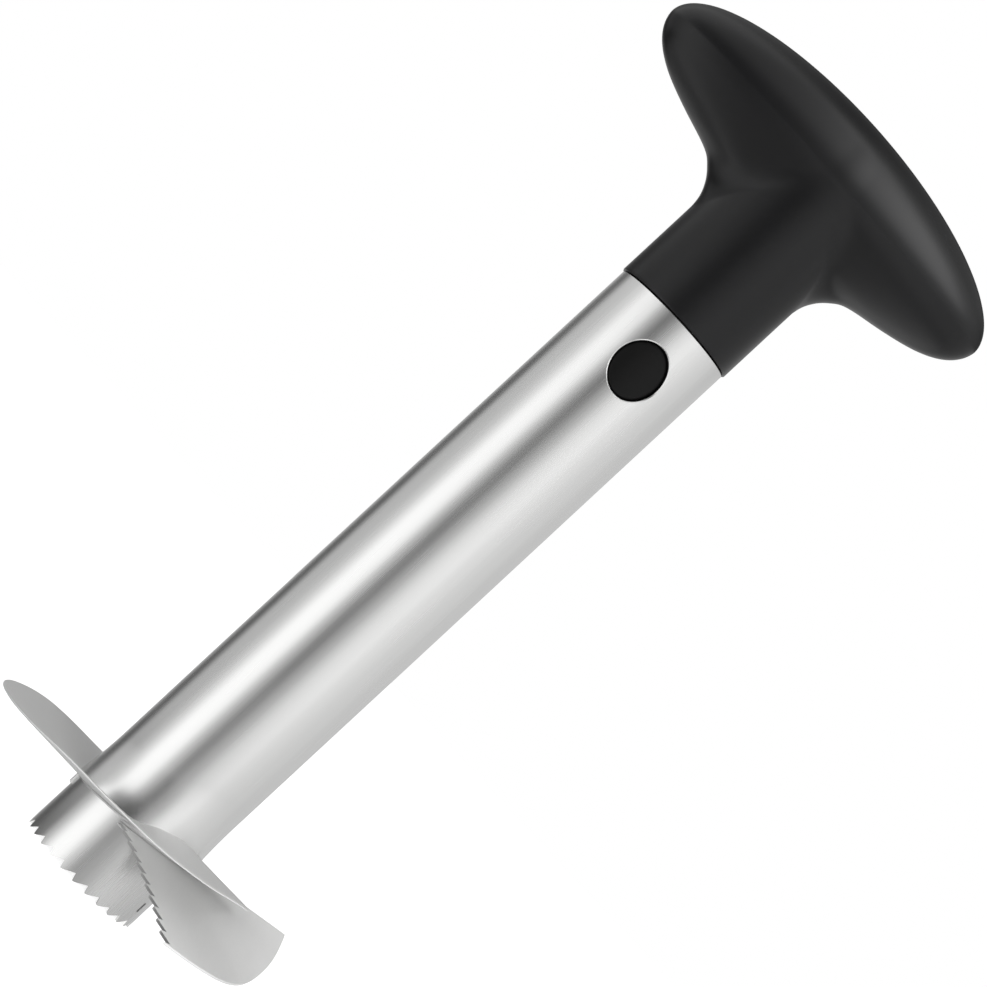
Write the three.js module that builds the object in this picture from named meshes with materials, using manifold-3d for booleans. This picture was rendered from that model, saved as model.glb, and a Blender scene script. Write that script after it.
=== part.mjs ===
// Pineapple slicer: a toothed steel tube with two helical blades, and a T handle that latches into
// the tube with two sprung buttons.
// Millimetres, +Z up. The origin is on the tube's axis, level with the tips of its teeth.
// The handle's bar runs along X and the buttons face along -Y and +Y.
import * as THREE from 'three';
import { mergeVertices } from 'three/addons/utils/BufferGeometryUtils.js';
import Module from 'manifold-3d';

const wasm = await Module();
wasm.setup();

// Gap left between pieces that touch, and the overrun that a cut has past what it cuts
const clearance = 0.3;
const cutOverrun = 2;

// Barrel: a thin steel tube whose lower end is cut into saw teeth
const tubeRadius = 16;
const tubeWall = 0.7;
const tubeTop = 179.2;
const toothCount = 26;
const toothDepth = 1.7;
const firstToothAngle = -99;
// One tooth, as [share of the pitch, share of the depth]: a narrow flat, a long back, a steep face
const toothProfileShares = [[0, 0], [0.13, 0], [0.86, 1]];

// Slot through the toothed end
const slotWidth = 0.9;
const slotHeight = 2.6;
const slotCentreHeight = 5.8;
const slotAngle = -32;

// Blades: sheet steel, welded round the tube
const sheetThickness = 0.6;
const bladeRadius = 42.5;
const bladeStep = 5;

// Upper blade: most of a turn, level at the back and rising to a lip at the front
const upperStartAngle = 17;
const upperEndAngle = 356;
const upperBaseHeight = 16.3;
const upperLipRise = 8.7;
const upperChordReach = 30.2;
const chordAngle = -9;
// Rise of the sheet where it meets the tube and along its rim, as [share of the turn, share of the rise]
const upperRootShares = [
  [0, 0.04], [0.5, 0], [0.58, 0.04], [0.62, 0.1], [0.69, 0.205], [0.724, 0.33], [0.767, 0.6],
  [0.833, 0.77], [0.88, 0.735], [1, 0.57],
];
const upperRimShares = [
  [0, 0.18], [0.26, 0.25], [0.34, 0.3], [0.42, 0.17], [0.5, 0.12], [0.58, 0.25], [0.64, 0.44],
  [0.7, 0.535], [0.757, 0.63], [0.8, 0.78], [0.86, 1], [1, 0.64],
];

// Lower blade: a twisted ramp below the lip, with a serrated front edge
const lowerOverreach = 1;
const lowerLeadDrop = 8.1;
const lowerTrailRise = 6.7;
const lowerRootClimb = 2.3;
const lowerArch = 0.8;
const lowerRootStartAngle = -108;
const lowerRimStartAngle = -67.5;
const lowerEndAngle = 8.2;
const lowerSections = 12;
const lowerToothFootShare = 1.5;
const lowerToothCount = 11;
const lowerToothDepth = 1.5;
const lowerToothProfileShares = [[0, 0], [0.12, 0], [0.78, 1]];
// Climb of the sheet along the tube and along its outer edge, as [share of the run, share of the climb]
const lowerRootShares = [[0, 0], [0.25, 0.5], [0.55, 0.82], [1, 1]];
const lowerRimShares = [
  [0, 0], [0.12, 0.035], [0.26, 0.074], [0.37, 0.108], [0.45, 0.145], [0.54, 0.21], [0.63, 0.32],
  [0.73, 0.48], [0.83, 0.665], [0.92, 0.832], [1, 1],
];

// Collar: a strip bent round the back of the tube under the upper blade
const collarThickness = 0.5;
const collarHeight = 2.8;
const collarStartAngle = 51;
const collarEndAngle = 181;

// Handle: a soft grip over a hard T-shaped core
const neckOverhang = 0.4;
const neckLength = 17.7;
const gripWall = 2.4;
const barHalfLength = 51.5;
const barHalfDepth = 16.6;
const barHeight = 45.1;
const neckSideBlend = 18;
const neckFrontBlend = 2.5;
const blendPower = 8;
const gripColumns = 36;
const columnCrowding = 1.5;
// Half length and half depth of the bar up to its fullest level, as [share of the bar's height, share
// of it]. Above that level it closes over like an ellipse.
const barLengthShares = [
  [0, 0], [0.1, 0.06], [0.19, 0.195], [0.25, 0.305], [0.3, 0.415], [0.36, 0.655], [0.43, 0.84],
  [0.52, 0.955], [0.63, 1], [0.73, 0.975],
];
const barDepthShares = [
  [0, 0], [0.1, 0.03], [0.25, 0.37], [0.39, 0.68], [0.51, 0.89], [0.63, 1], [0.75, 0.99],
];
const barFullestShare = 0.63;
const neckRingShares = [0, 0.35, 0.7, 0.9];
const barRingShares = [
  0.05, 0.1, 0.14, 0.18, 0.22, 0.26, 0.295, 0.325, 0.355, 0.39, 0.43, 0.48, 0.55, 0.63, 0.71, 0.79,
  0.86, 0.92, 0.965, 0.99,
];

// Latch housing: a plug that slides down inside the tube
const spigotLength = 8.8;
const capThickness = 1.6;
const capLipHeight = 3;
const capLipWall = 1.6;
const housingWall = 1.8;
const plateThickness = 4.2;
const dividerThickness = 2;
const joinOverlap = 0.2;

// Screws that hold the housing to the core
const screwRadius = 1.4;
const screwHeadRadius = 2.8;
const screwHeadHeight = 2;
const screwThreadReach = 11;
const screwTipHeight = 1;
const screwHeadroom = 1.2;
const screwHeadSideRoom = 2.6;
const screwHeadCoreRoom = 0.7;
const screwRecessWidth = 0.8;
const screwRecessLength = 3.6;
const screwRecessDepth = 1.1;

// Buttons: squeezed in to free the handle
const buttonWidth = 12;
const buttonTall = 14;
const buttonShankDepth = 5.7;
const flangeMargin = 1.5;
const flangeThickness = 1.4;
const flangeHeadroom = 1.3;
const flangeFootroom = 4.2;
const springPinRadius = 1.6;
const springPinLength = 2.5;

// Springs behind the buttons
const springRadius = 2.6;
const springWireRadius = 0.35;
const springCurls = 4;
const stepsPerCurl = 8;
const wireSides = 5;

// Sides of the round pieces and of the ovals, and how near two corners are that weld into one
const roundSides = 40;
const smallSides = 16;
const ovalSides = 32;
const weldDistance = 0.0001;

const boreRadius = tubeRadius - tubeWall;
const housingRadius = boreRadius - clearance;
const sheetRootRadius = tubeRadius + clearance;
const lowerRadius = bladeRadius + lowerOverreach;
const neckRadius = tubeRadius + neckOverhang;
const coreInset = gripWall + clearance;
const coreNeckRadius = neckRadius - coreInset;
const gripBottomHeight = tubeTop + clearance;
const barLowHeight = gripBottomHeight + neckLength;
const barTopHeight = barLowHeight + barHeight;
const spigotTopHeight = tubeTop + spigotLength;
const coreBottomHeight = spigotTopHeight + clearance;
const plateBottomHeight = tubeTop - plateThickness;
const flangeTall = buttonTall + 2 * flangeMargin;
const buttonHeight = plateBottomHeight - flangeHeadroom - flangeTall / 2;
const capLipTop = buttonHeight - flangeTall / 2 - flangeFootroom;
const capFlangeTop = capLipTop - capLipHeight;
const plugBottomHeight = capFlangeTop - capThickness;
const housingInnerRadius = housingRadius - housingWall;
const screwOffset = housingInnerRadius - screwHeadSideRoom - screwHeadRadius;
const dividerCoreWidth = 2 * (screwOffset - screwHeadRadius - screwHeadCoreRoom);
const radians = THREE.MathUtils.degToRad;

const steel = () => new THREE.MeshStandardMaterial({ color: 0xb9bab8, metalness: 1, roughness: 0.34 });
const softBlack = () => new THREE.MeshStandardMaterial({ color: 0x1b1b1d, metalness: 0, roughness: 0.48 });
const hardBlack = () => new THREE.MeshStandardMaterial({ color: 0x161616, metalness: 0, roughness: 0.4 });
const greyPlastic = () => new THREE.MeshStandardMaterial({ color: 0x2c2d2f, metalness: 0, roughness: 0.55 });
const springSteel = () => new THREE.MeshStandardMaterial({ color: 0x8c8d8f, metalness: 1, roughness: 0.3 });

// Value at a share of a run that is given by hand-chosen points, eased between them
function valueAlong(points, share) {
  const last = points.length - 1;
  let i = 0;
  while (i < last - 1 && share > points[i + 1][0]) {
    i += 1;
  }
  const [from, start] = points[i];
  const [to, end] = points[i + 1];
  const before = points[Math.max(i - 1, 0)];
  const after = points[Math.min(i + 2, last)];
  const startSlope = (end - before[1]) / (to - before[0]);
  const endSlope = (after[1] - start) / (after[0] - from);
  const run = to - from;
  const t = (share - from) / run;
  const blend = t * t * (3 - 2 * t);
  const leave = t * (1 - t) * (1 - t) * run * startSlope;
  const arrive = t * t * (1 - t) * run * endSlope;
  return start * (1 - blend) + end * blend + leave - arrive;
}

// Depth of a row of saw teeth at a share of one pitch, straight between the profile's points
function toothDepthShare(profile, share) {
  const closed = [...profile, [1, 0]];
  const next = closed.findIndex(([at]) => at > share);
  const [from, start] = closed[next - 1];
  const [to, end] = closed[next];
  return start + ((end - start) * (share - from)) / (to - from);
}

// The larger of two lengths, with a fillet of the given width where they are alike
function filletedLarger(a, b, width) {
  const near = Math.max(width - Math.abs(a - b), 0) / width;
  return Math.max(a, b) + (near * near * width) / 4;
}

// A point at an angle and a radius round the tube's axis
function aroundAxis(angle, radius, height) {
  return new THREE.Vector3(radius * Math.cos(radians(angle)), radius * Math.sin(radians(angle)), height);
}

// A solid from a run of closed outlines with as many points each. A joined run closes on itself.
// Otherwise each end is closed by a fan to its pole, or by strips between the outline's two halves.
function loft(outlines, { joined = false, poles = null } = {}) {
  const count = outlines[0].length;
  const points = outlines.flat();
  const triangles = [];
  const quad = (a, b, c, d) => triangles.push(a, b, c, a, c, d);
  const runs = joined ? outlines.length : outlines.length - 1;
  for (let s = 0; s < runs; s += 1) {
    const near = s * count;
    const far = ((s + 1) % outlines.length) * count;
    for (let i = 0; i < count; i += 1) {
      const next = (i + 1) % count;
      quad(near + i, near + next, far + next, far + i);
    }
  }
  const end = (outlines.length - 1) * count;
  if (poles) {
    const startPole = points.push(poles[0]) - 1;
    const endPole = points.push(poles[1]) - 1;
    for (let i = 0; i < count; i += 1) {
      const next = (i + 1) % count;
      triangles.push(startPole, next, i);
      triangles.push(endPole, end + i, end + next);
    }
  } else if (!joined) {
    for (let i = 0; i < count / 2 - 1; i += 1) {
      const across = count - 1 - i;
      quad(i, across, across - 1, i + 1);
      quad(end + i, end + i + 1, end + across - 1, end + across);
    }
  }
  const geometry = new THREE.BufferGeometry().setFromPoints(points);
  geometry.setIndex(triangles);
  return geometry;
}

// A solid turned about the tube's axis from a profile of [radius, height] that starts and ends on it
function turned(profile, sides = roundSides) {
  const points = profile.map(([radius, height]) => new THREE.Vector2(radius, height));
  return new THREE.LatheGeometry(points, sides).rotateX(Math.PI / 2);
}

// An upright cylinder at a place
function upright(radius, low, high, x = 0, sides = smallSides) {
  return turned([[0, low], [radius, low], [radius, high], [0, high]], sides).translate(x, 0, 0);
}

// A box from its size and centre
function block(size, centre) {
  return new THREE.BoxGeometry(...size).translate(...centre);
}

// An oval outline round the origin
function oval(width, height, sides) {
  const points = [];
  for (let i = 0; i < sides; i += 1) {
    const angle = (2 * Math.PI * i) / sides;
    points.push(new THREE.Vector2((width / 2) * Math.cos(angle), (height / 2) * Math.sin(angle)));
  }
  return new THREE.Shape(points);
}

// An oval bar along Y, between two places on that axis, centred at the buttons' height
function ovalBar(width, height, low, high, sides = ovalSides) {
  const outline = oval(width, height, sides);
  const bar = new THREE.ExtrudeGeometry(outline, { depth: high - low, bevelEnabled: false });
  return bar.rotateX(Math.PI / 2).translate(0, high, buttonHeight);
}

// The closed solid of a geometry, for joining and cutting
function solid(geometry) {
  const bare = geometry.clone();
  bare.deleteAttribute('normal');
  bare.deleteAttribute('uv');
  const merged = mergeVertices(bare, weldDistance);
  return new wasm.Manifold(new wasm.Mesh({
    numProp: 3,
    vertProperties: new Float32Array(merged.attributes.position.array),
    triVerts: new Uint32Array(merged.index.array),
  }));
}

// The geometry of a solid, after joining and cutting
function geometryOf(body) {
  const mesh = body.getMesh();
  const geometry = new THREE.BufferGeometry();
  geometry.setAttribute('position', new THREE.BufferAttribute(mesh.vertProperties, 3));
  geometry.setIndex(new THREE.BufferAttribute(mesh.triVerts, 1));
  return geometry;
}

function named(name, geometry, material) {
  const shaded = geometry.index ? geometry.toNonIndexed() : geometry;
  shaded.computeVertexNormals();
  const mesh = new THREE.Mesh(shaded, material);
  mesh.name = name;
  return mesh;
}

// Tube, cut at its lower end into teeth and pierced by the two button holes and the slot
function barrelTube() {
  const pitch = 360 / toothCount;
  const outlines = [];
  for (let tooth = 0; tooth < toothCount; tooth += 1) {
    for (const [share, depth] of toothProfileShares) {
      const angle = firstToothAngle + (tooth + share) * pitch;
      const low = depth * toothDepth;
      outlines.push([
        aroundAxis(angle, tubeRadius, tubeTop),
        aroundAxis(angle, tubeRadius, low),
        aroundAxis(angle, boreRadius, low),
        aroundAxis(angle, boreRadius, tubeTop),
      ]);
    }
  }
  const holeReach = tubeRadius + cutOverrun;
  const holes = ovalBar(buttonWidth + 2 * clearance, buttonTall + 2 * clearance, -holeReach, holeReach);
  const slot = block([tubeWall + 2 * cutOverrun, slotWidth, slotHeight], [tubeRadius, 0, slotCentreHeight]);
  slot.rotateZ(radians(slotAngle));
  return geometryOf(solid(loft(outlines, { joined: true })).subtract(solid(holes)).subtract(solid(slot)));
}

// Outer radius of the upper blade: a circle, cut straight on the side where the slice leaves
function upperReach(angle) {
  const towardsChord = Math.cos(radians(angle - chordAngle));
  const chord = towardsChord > 0 ? upperChordReach / towardsChord : bladeRadius;
  return Math.min(chord, bladeRadius);
}

// Upper blade: straight from the tube to the rim at every angle round the turn
function upperBlade() {
  const steps = Math.round((upperEndAngle - upperStartAngle) / bladeStep);
  const outlines = [];
  for (let i = 0; i <= steps; i += 1) {
    const turn = i / steps;
    const angle = upperStartAngle + turn * (upperEndAngle - upperStartAngle);
    const rootHeight = upperBaseHeight + upperLipRise * valueAlong(upperRootShares, turn);
    const rimHeight = upperBaseHeight + upperLipRise * valueAlong(upperRimShares, turn);
    const reach = upperReach(angle);
    const middle = (sheetRootRadius + reach) / 2;
    const heightAt = (radius) => {
      const out = (radius - sheetRootRadius) / (bladeRadius - sheetRootRadius);
      return THREE.MathUtils.lerp(rootHeight, rimHeight, out);
    };
    const top = [sheetRootRadius, middle, reach].map((radius) => aroundAxis(angle, radius, heightAt(radius)));
    const under = top.map((point) => point.clone().setZ(point.z - sheetThickness)).reverse();
    outlines.push([...top, ...under]);
  }
  return loft(outlines);
}

// A point on the top of the lower blade, at a share of the run from front edge to back edge and a
// share of the way out from the tube. Lines out from the tube are arched at the front edge and
// straight at the back edge.
function lowerPoint(run, out) {
  const rootAngle = THREE.MathUtils.lerp(lowerRootStartAngle, lowerEndAngle, run);
  const rimAngle = THREE.MathUtils.lerp(lowerRimStartAngle, lowerEndAngle, run);
  const rootRise = lowerRootClimb * valueAlong(lowerRootShares, run);
  const rimRise = (lowerLeadDrop + lowerTrailRise) * valueAlong(lowerRimShares, run);
  const root = aroundAxis(rootAngle, sheetRootRadius, upperBaseHeight + rootRise);
  const rim = aroundAxis(rimAngle, lowerRadius, upperBaseHeight - lowerLeadDrop + rimRise);
  const arch = 4 * lowerArch * out * (1 - out) * (1 - run);
  return root.lerp(rim, out).add(new THREE.Vector3(0, 0, arch));
}

// Lower blade: the ramp, with teeth cut back into its front edge
function lowerBlade() {
  const runLength = lowerPoint(0, 0.5).distanceTo(lowerPoint(1, 0.5));
  const toothRun = lowerToothDepth / runLength;
  const outs = [];
  for (let tooth = 0; tooth < lowerToothCount; tooth += 1) {
    for (const [share] of lowerToothProfileShares) {
      outs.push((tooth + share) / lowerToothCount);
    }
  }
  outs.push(1);
  const runs = [0];
  for (let i = 1; i <= lowerSections; i += 1) {
    runs.push(THREE.MathUtils.lerp(lowerToothFootShare * toothRun, 1, (i - 1) / (lowerSections - 1)));
  }
  const outlines = runs.map((run, section) => {
    const top = outs.map((out) => {
      const inTooth = (out * lowerToothCount) % 1;
      const cutBack = section === 0 ? toothRun * toothDepthShare(lowerToothProfileShares, inTooth) : 0;
      return lowerPoint(run + cutBack, out);
    });
    const under = top.map((point) => point.clone().setZ(point.z - sheetThickness)).reverse();
    return [...top, ...under];
  });
  return loft(outlines);
}

// Collar: a strip with its top just under the upper blade
function bladeCollar() {
  const top = upperBaseHeight - sheetThickness - clearance;
  const steps = Math.round((collarEndAngle - collarStartAngle) / bladeStep);
  const outlines = [];
  for (let i = 0; i <= steps; i += 1) {
    const angle = THREE.MathUtils.lerp(collarStartAngle, collarEndAngle, i / steps);
    const inner = sheetRootRadius;
    const outer = sheetRootRadius + collarThickness;
    outlines.push([
      aroundAxis(angle, inner, top),
      aroundAxis(angle, outer, top),
      aroundAxis(angle, outer, top - collarHeight),
      aroundAxis(angle, inner, top - collarHeight),
    ]);
  }
  return loft(outlines);
}

// One level ring of the handle's form, drawn in by an inset: the neck's circle filleted into the
// bar's ellipse, widely below the bar's ends and narrowly at the front and back
function gripRing(height, share, inset) {
  const crown = crownShare(share);
  const level = Math.min(share, barFullestShare);
  const halfLength = (barHalfLength - inset) * crown * valueAlong(barLengthShares, level);
  const halfDepth = (barHalfDepth - inset) * crown * valueAlong(barDepthShares, level);
  const ring = [];
  for (let i = 0; i < gripColumns; i += 1) {
    const turn = (2 * Math.PI * i) / gripColumns;
    // Columns crowd towards the bar's ends, where its outline turns fastest
    const angle = Math.atan2(Math.sin(turn), columnCrowding * Math.cos(turn));
    const across = Math.hypot(halfDepth * Math.cos(angle), halfLength * Math.sin(angle));
    const bar = across > 0 ? (halfLength * halfDepth) / across : 0;
    const neck = (neckRadius - inset) * crown;
    const sideways = Math.abs(Math.cos(angle)) ** blendPower;
    const blend = THREE.MathUtils.lerp(neckFrontBlend, neckSideBlend, sideways);
    const radius = filletedLarger(neck, bar, blend * crown);
    ring.push(new THREE.Vector3(radius * Math.cos(angle), radius * Math.sin(angle), height));
  }
  return ring;
}

// The handle is full up to the bar's widest level and closes over above it, like an ellipse
function crownShare(share) {
  if (share <= barFullestShare) {
    return 1;
  }
  const above = (share - barFullestShare) / (1 - barFullestShare);
  return Math.sqrt(Math.max(1 - above * above, 0));
}

// The handle's rings from a bottom to just under its top. An inset moves them towards the bar's
// fullest level.
function gripRings(bottom, inset) {
  const low = barLowHeight + inset;
  const neck = neckRingShares.map((share) => gripRing(THREE.MathUtils.lerp(bottom, low, share), 0, inset));
  const bar = barRingShares.map((share) => {
    const shift = share < barFullestShare
      ? 1 - share / barFullestShare
      : (barFullestShare - share) / (1 - barFullestShare);
    return gripRing(THREE.MathUtils.lerp(barLowHeight, barTopHeight, share) + inset * shift, share, inset);
  });
  return [...neck, ...bar];
}

// Soft grip: a closed skin, open at the bottom of the neck
function gripSkin() {
  const inner = gripRings(gripBottomHeight, gripWall).reverse();
  const poles = [
    new THREE.Vector3(0, 0, barTopHeight - gripWall),
    new THREE.Vector3(0, 0, barTopHeight),
  ];
  return loft([...inner, ...gripRings(gripBottomHeight, 0)], { poles });
}

// Hard core: the same T inside the skin, with a pilot hole for each screw
function handleCore() {
  const poles = [
    new THREE.Vector3(0, 0, coreBottomHeight),
    new THREE.Vector3(0, 0, barTopHeight - coreInset),
  ];
  let core = solid(loft(gripRings(coreBottomHeight, coreInset), { poles }));
  const pilotTop = coreBottomHeight + screwThreadReach + screwTipHeight + clearance;
  for (const side of [-1, 1]) {
    const place = side * screwOffset;
    const pilot = upright(screwRadius + clearance, coreBottomHeight - cutOverrun, pilotTop, place);
    core = core.subtract(solid(pilot));
  }
  return geometryOf(core);
}

// Latch housing: a cup open downwards, with two windows, a wall between the springs, and a spigot
// that stands up into the handle's neck
function latchHousing() {
  const bottom = capFlangeTop + clearance;
  const inner = housingInnerRadius;
  const shell = turned([
    [0, plateBottomHeight], [inner, plateBottomHeight], [inner, bottom], [housingRadius, bottom],
    [housingRadius, tubeTop], [coreNeckRadius, tubeTop], [coreNeckRadius, spigotTopHeight],
    [0, spigotTopHeight],
  ]);
  const windowReach = housingRadius + cutOverrun;
  const windows = ovalBar(buttonWidth + 2 * clearance, buttonTall + 2 * clearance, -windowReach, windowReach);
  const wallLow = capLipTop + clearance;
  const wallHigh = plateBottomHeight - screwHeadHeight - screwHeadroom;
  const wallWidth = 2 * (inner + joinOverlap);
  const wall = block(
    [wallWidth, dividerThickness, wallHigh - wallLow],
    [0, 0, (wallHigh + wallLow) / 2],
  );
  const web = block(
    [dividerCoreWidth, dividerThickness, plateBottomHeight + joinOverlap - wallLow],
    [0, 0, (plateBottomHeight + joinOverlap + wallLow) / 2],
  );
  let housing = solid(shell).subtract(solid(windows)).add(solid(wall)).add(solid(web));
  for (const side of [-1, 1]) {
    const hole = upright(
      screwRadius + clearance, plateBottomHeight - cutOverrun, spigotTopHeight + cutOverrun,
      side * screwOffset,
    );
    housing = housing.subtract(solid(hole));
  }
  return geometryOf(housing);
}

// End cap: closes the housing, with a lip that snaps inside its wall
function latchEndCap() {
  const lipOuter = housingInnerRadius - clearance;
  const lipInner = lipOuter - capLipWall;
  return turned([
    [0, plugBottomHeight], [housingRadius, plugBottomHeight], [housingRadius, capFlangeTop],
    [lipOuter, capFlangeTop], [lipOuter, capLipTop], [lipInner, capLipTop], [lipInner, capFlangeTop],
    [0, capFlangeTop],
  ]);
}

// Screw: driven from inside the housing up into the core, with a cross recess in its head
function screw(side) {
  const headTop = plateBottomHeight - clearance;
  const headBottom = headTop - screwHeadHeight;
  const threadTop = coreBottomHeight + screwThreadReach;
  const body = turned([
    [0, headBottom], [screwHeadRadius, headBottom], [screwHeadRadius, headTop], [screwRadius, headTop],
    [screwRadius, threadTop], [0, threadTop + screwTipHeight],
  ], smallSides).translate(side * screwOffset, 0, 0);
  const recessCentre = headBottom + screwRecessDepth / 2 - cutOverrun / 2;
  const recessHeight = screwRecessDepth + cutOverrun;
  const centre = [side * screwOffset, 0, recessCentre];
  const along = block([screwRecessLength, screwRecessWidth, recessHeight], centre);
  const across = block([screwRecessWidth, screwRecessLength, recessHeight], centre);
  return geometryOf(solid(body).subtract(solid(along)).subtract(solid(across)));
}

// Distances of the button's parts from the tube's axis, at rest
const flangeOuter = housingRadius - buttonShankDepth;
const flangeInner = flangeOuter - flangeThickness;
const springPinEnd = flangeInner - springPinLength;

// Button facing -Y: a face curved like the tube, a shank, a flange that stops it in its window, and
// a pin inside the spring
function button() {
  const shank = ovalBar(buttonWidth, buttonTall, -housingRadius, -flangeOuter + joinOverlap);
  const face = turned([
    [0, buttonHeight - buttonTall], [housingRadius, buttonHeight - buttonTall],
    [housingRadius, buttonHeight + buttonTall], [0, buttonHeight + buttonTall],
  ]);
  const flange = ovalBar(
    buttonWidth + 2 * flangeMargin, flangeTall, -flangeOuter, -flangeInner,
  );
  const pinWidth = 2 * springPinRadius;
  const pin = ovalBar(pinWidth, pinWidth, -flangeInner - joinOverlap, -springPinEnd, smallSides);
  return geometryOf(solid(shank).intersect(solid(face)).add(solid(flange)).add(solid(pin)));
}

// Spring facing -Y: one wire wound round the button's pin, from the divider to the flange
function spring() {
  const near = dividerThickness / 2 + clearance + springWireRadius;
  const far = flangeInner - clearance - springWireRadius;
  const points = [];
  for (let i = 0; i <= springCurls * stepsPerCurl; i += 1) {
    const share = i / (springCurls * stepsPerCurl);
    const angle = share * springCurls * 2 * Math.PI;
    points.push(new THREE.Vector3(
      springRadius * Math.cos(angle), -THREE.MathUtils.lerp(near, far, share),
      buttonHeight + springRadius * Math.sin(angle),
    ));
  }
  let least = Infinity;
  points.forEach((point, i) => {
    for (let j = i + Math.round(stepsPerCurl / 2); j < points.length; j += 1) {
      least = Math.min(least, point.distanceTo(points[j]));
    }
  });
  console.log(`spring: least gap to itself ${(least - 2 * springWireRadius).toFixed(2)} mm`);
  return new THREE.ExtrudeGeometry(oval(2 * springWireRadius, 2 * springWireRadius, wireSides), {
    steps: springCurls * stepsPerCurl, extrudePath: new THREE.CatmullRomCurve3(points), bevelEnabled: false,
  });
}

const barrel = new THREE.Group();
barrel.add(named('barrel_tube', barrelTube(), steel()));
barrel.add(named('upper_blade', upperBlade(), steel()));
barrel.add(named('lower_blade', lowerBlade(), steel()));
barrel.add(named('blade_collar', bladeCollar(), steel()));

const handle = new THREE.Group();
handle.add(named('grip_skin', gripSkin(), softBlack()));
handle.add(named('handle_core', handleCore(), hardBlack()));
handle.add(named('latch_housing', latchHousing(), greyPlastic()));
handle.add(named('latch_end_cap', latchEndCap(), greyPlastic()));
handle.add(named('screw_left', screw(-1), springSteel()));
handle.add(named('screw_right', screw(1), springSteel()));

// The rear button and its spring are the front ones turned half round the axis
for (const [side, turn] of [['front', 0], ['rear', Math.PI]]) {
  const latch = new THREE.Group();
  latch.add(named(`button_${side}`, button(), hardBlack()));
  latch.add(named(`spring_${side}`, spring(), springSteel()));
  latch.rotation.z = turn;
  handle.add(latch);
}

const slicer = new THREE.Group();
slicer.add(barrel, handle);
export default slicer;
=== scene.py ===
import math

import bpy
import numpy as np
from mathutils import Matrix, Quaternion, Vector


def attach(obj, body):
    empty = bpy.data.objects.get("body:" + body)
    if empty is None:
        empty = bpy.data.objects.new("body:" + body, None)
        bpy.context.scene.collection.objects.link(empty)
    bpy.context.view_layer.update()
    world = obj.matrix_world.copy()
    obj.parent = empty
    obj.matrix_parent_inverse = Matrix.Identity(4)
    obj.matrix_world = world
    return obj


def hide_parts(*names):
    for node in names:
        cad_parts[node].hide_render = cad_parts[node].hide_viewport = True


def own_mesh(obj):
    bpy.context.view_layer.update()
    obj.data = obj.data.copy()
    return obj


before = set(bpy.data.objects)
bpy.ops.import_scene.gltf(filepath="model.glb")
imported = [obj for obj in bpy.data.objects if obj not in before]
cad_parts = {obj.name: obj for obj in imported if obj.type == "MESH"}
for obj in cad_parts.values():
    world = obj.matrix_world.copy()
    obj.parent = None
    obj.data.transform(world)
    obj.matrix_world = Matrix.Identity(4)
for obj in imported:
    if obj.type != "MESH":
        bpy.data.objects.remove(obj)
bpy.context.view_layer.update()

MM = 0.001

# Camera.
# It stands level with the middle of the tube, a little to the left of the front button, and is
# rolled so that the tool lies across the picture from lower left to upper right.
camera_turn = math.radians(9)
camera_distance = 770 * MM
camera_height = 99 * MM
aim_height = 124.4 * MM
aim_aside = 0.6 * MM
camera_roll = math.radians(47.2)
camera_lens = 126.5
camera_sensor = 36
camera_near = 10 * MM

ahead = Vector((math.sin(camera_turn), math.cos(camera_turn), 0))
aside = Vector((math.cos(camera_turn), -math.sin(camera_turn), 0))
upward = Vector((0, 0, 1))
camera = bpy.data.objects.new("camera", bpy.data.cameras.new("camera"))
bpy.context.scene.collection.objects.link(camera)
camera.data.lens = camera_lens
camera.data.sensor_width = camera_sensor
camera.data.clip_start = camera_near
camera.location = camera_height * upward - camera_distance * ahead
look = aim_aside * aside + aim_height * upward - camera.location
camera.rotation_mode = "QUATERNION"
camera.rotation_quaternion = look.to_track_quat("-Z", "Y") @ Quaternion((0, 0, 1), camera_roll)
bpy.context.scene.camera = camera
bpy.context.scene.view_settings.view_transform = "Standard"


# Floor and studio.
# A white board that the tool stands on, soft lamps, and round it all a tent of white cloth with
# dark strips, which only shows in what is glossy.
floor_half_width = 3.0
tent_radius = 0.55
floor_grey = 0.8
floor_glow = 0.85
sky_level = 0.3
# Faces that meet at more than this angle have a sharp edge
sharp_angle = math.radians(35)


class Wire:
    """A socket in a node tree. Arithmetic on it adds the Math node that works it out."""

    def __init__(self, finish, socket):
        self.finish, self.socket = finish, socket

    def maths(self, operation, first, second):
        return self.finish.node("ShaderNodeMath", {"operation": operation}, {0: first, 1: second})

    def __add__(self, other):
        return self.maths("ADD", self, other)

    def __sub__(self, other):
        return self.maths("SUBTRACT", self, other)

    def __rsub__(self, other):
        return self.maths("SUBTRACT", other, self)

    def __mul__(self, other):
        return self.maths("MULTIPLY", self, other)

    __radd__ = __add__
    __rmul__ = __mul__


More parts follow.
